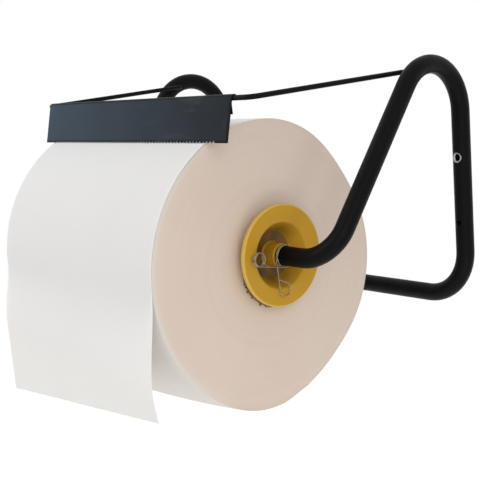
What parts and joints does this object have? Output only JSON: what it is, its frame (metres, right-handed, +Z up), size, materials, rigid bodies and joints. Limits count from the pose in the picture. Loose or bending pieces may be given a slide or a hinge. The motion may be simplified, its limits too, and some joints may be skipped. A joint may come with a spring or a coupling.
{
  "type": "wall-mounted paper towel holder",
  "caption": "Wall-mounted paper towel holder: bent tube frame, spring-held cones on inward spindles carrying a paper roll, and a lift-up toothed tear bar.",
  "frame": {"origin": "centre of the four wall holes, on the wall plane that touches the backs of the uprights", "axes": "+X to the right along the crossbar, +Y into the wall, +Z up"},
  "size_m": [0.4248, 0.3713, 0.3324],
  "materials": {
    "black_coat": "satin",
    "plug_plastic": "matte",
    "cone_plastic": "satin",
    "spring_steel": "polished",
    "core_board": "matte",
    "wound_paper": "matte",
    "loose_paper": "matte",
    "plate_coat": "satin"
  },
  "bodies": {
    "frame": {"frame_tube": "black_coat", "spindle_plug_right": "plug_plastic", "spindle_plug_left": "plug_plastic", "paper_tail": "loose_paper"},
    "roll": {"paper_roll": "wound_paper", "roll_core": "core_board"},
    "right_collar": {"collar_right": "spring_steel"},
    "right_cone": {"cone_right": "cone_plastic"},
    "left_collar": {"collar_left": "spring_steel"},
    "left_cone": {"cone_left": "cone_plastic"},
    "tear_bar": {"bail_wire": "black_coat", "tear_plate": "plate_coat"}
  },
  "joints": [
    {"name": "roll_spin", "type": "hinge", "parent": "frame", "child": "roll", "pos_m": [0, -0.221, -0.04881], "axis": [1, 0, 0], "continuous": true},
    {"name": "right_collar_slide", "type": "slide", "parent": "frame", "child": "right_collar", "axis": [1, 0, 0], "range_m": [0, 0.0227]},
    {"name": "right_cone_spin", "type": "hinge", "parent": "right_collar", "child": "right_cone", "pos_m": [0.14028, -0.221, -0.0393], "axis": [1, 0, 0], "continuous": true},
    {"name": "left_collar_slide", "type": "slide", "parent": "frame", "child": "left_collar", "axis": [-1, 0, 0], "range_m": [0, 0.0032]},
    {"name": "left_cone_spin", "type": "hinge", "parent": "left_collar", "child": "left_cone", "pos_m": [-0.15978, -0.221, -0.0393], "axis": [1, 0, 0], "continuous": true},
    {"name": "tear_bar_lift", "type": "hinge", "parent": "frame", "child": "tear_bar", "pos_m": [0, -0.0832, 0.12605], "axis": [-1, 0, 0], "range_deg": [0, 105]}
  ],
  "couplings": [
    {"joint": "right_cone_spin", "follows": "roll_spin", "ratio": 1.3468},
    {"joint": "left_cone_spin", "follows": "roll_spin", "ratio": 1.3468}
  ]
}
